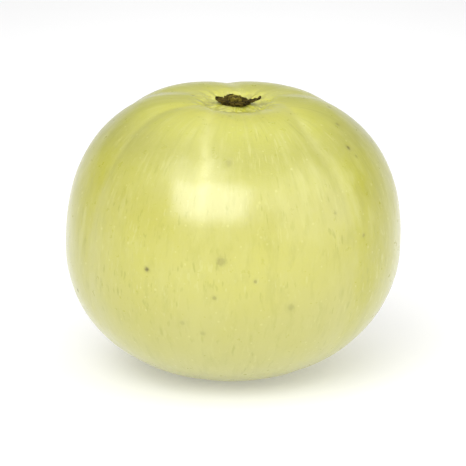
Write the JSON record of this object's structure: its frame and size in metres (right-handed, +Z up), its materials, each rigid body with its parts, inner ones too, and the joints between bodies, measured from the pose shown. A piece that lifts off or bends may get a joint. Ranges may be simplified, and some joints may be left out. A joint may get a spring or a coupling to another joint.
{
  "type": "indian gooseberry",
  "caption": "Whole round berry with six shallow furrows, a shallow basin at the top holding the dried end of its stalk, and a small flat spot to rest on.",
  "frame": {"origin": "under the middle of the fruit, on the plane of the flat spot that it rests on", "axes": "+Z up through the stalk end; -Y is the front, a furrow lies 12 degrees to its -X side"},
  "size_m": [0.04, 0.04, 0.0339],
  "materials": {
    "skin": "smooth, waxy, slightly translucent pale yellow-green fruit skin",
    "dry_stalk": "matt, dark brown, dried and broken stalk"
  },
  "bodies": {
    "root": {"fruit": "skin", "stalk_stub": "dry_stalk"}
  },
  "joints": []
}
